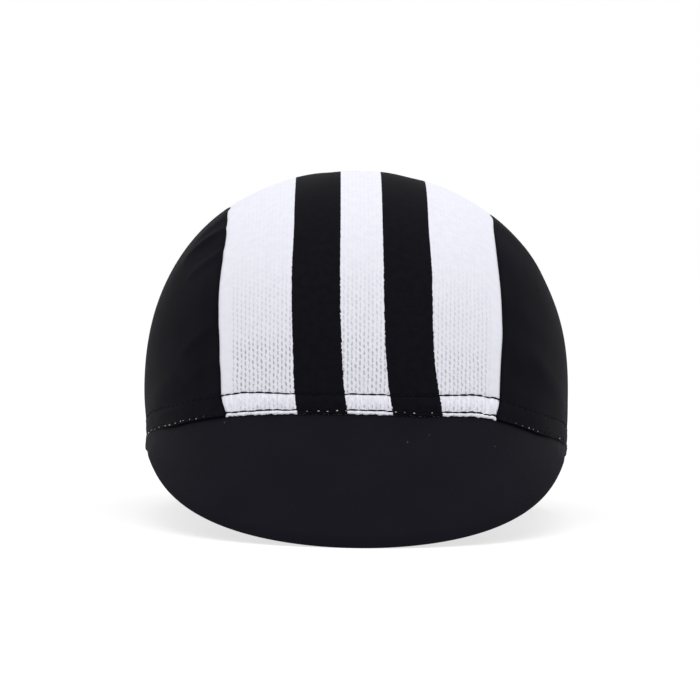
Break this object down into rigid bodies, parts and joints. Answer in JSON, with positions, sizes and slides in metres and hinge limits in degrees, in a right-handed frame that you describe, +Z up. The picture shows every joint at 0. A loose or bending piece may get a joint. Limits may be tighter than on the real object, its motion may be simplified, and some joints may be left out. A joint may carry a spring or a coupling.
{
  "type": "cycling cap",
  "caption": "Soft cycling cap: a domed crown of a mesh centre panel and side panels, an inner sweatband and a short drooping peak.",
  "frame": {"origin": "bottom centre of the cap's box, on the surface that it rests on", "axes": "+Z up, -Y towards the peak, +X towards the wearer's left"},
  "size_m": [0.1642, 0.2402, 0.1321],
  "materials": {
    "white_mesh": "matt eyelet mesh with printed black stripes",
    "black_jersey": "smooth black cloth with a soft sheen",
    "black_peak_cloth": "matt black cloth over a stiffener",
    "band_cloth": "soft black cloth"
  },
  "bodies": {
    "root": {"centre_panel": "white_mesh", "side_panel_left": "black_jersey", "side_panel_right": "black_jersey", "sweatband": "band_cloth", "peak": "black_peak_cloth"}
  },
  "joints": []
}
